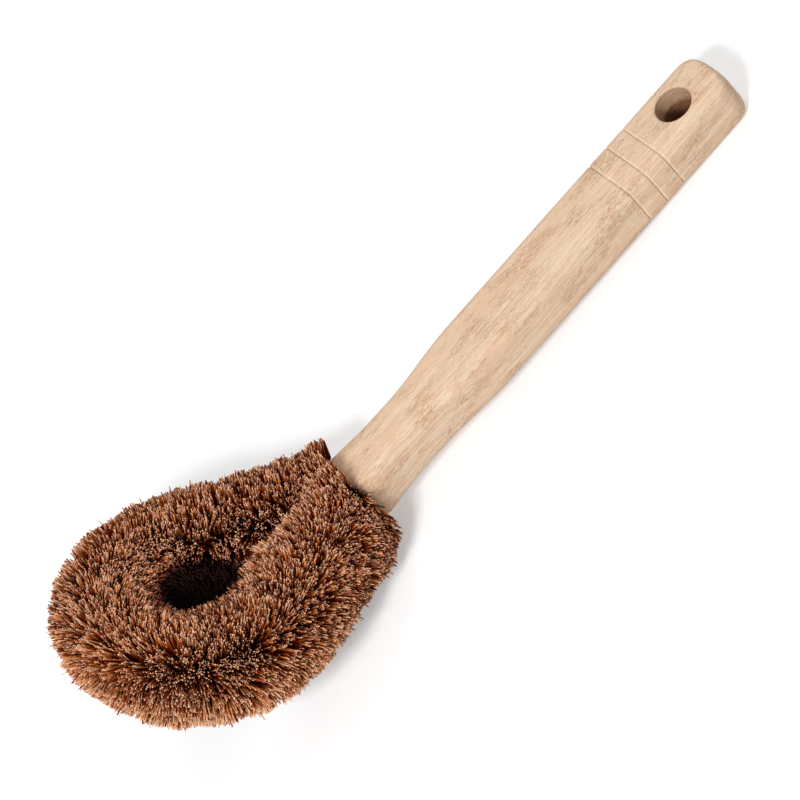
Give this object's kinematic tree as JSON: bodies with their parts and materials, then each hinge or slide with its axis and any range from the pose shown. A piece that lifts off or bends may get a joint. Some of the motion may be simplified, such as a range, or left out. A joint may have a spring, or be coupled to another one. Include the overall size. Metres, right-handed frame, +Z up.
{
  "type": "pot brush",
  "caption": "Hand pot brush with a teardrop loop of trimmed coconut fibre on twisted wire, pitched up from a long waisted wooden handle with a hanging hole and shallow grooves.",
  "frame": {"origin": "on the floor, under the middle of the brush's length and width as it lies at rest", "axes": "+X along the length, towards the handle's free end with the hanging hole; +Y across the brush; +Z up, out of the face that the head is pitched towards"},
  "size_m": [0.2688, 0.0928, 0.0691],
  "materials": {
    "rubberwood": "matte",
    "galvanised_wire": "satin",
    "coir": "matte"
  },
  "bodies": {
    "root": {"handle": "rubberwood", "twisted_wire": "galvanised_wire", "coir_bristles": "coir"}
  },
  "joints": []
}
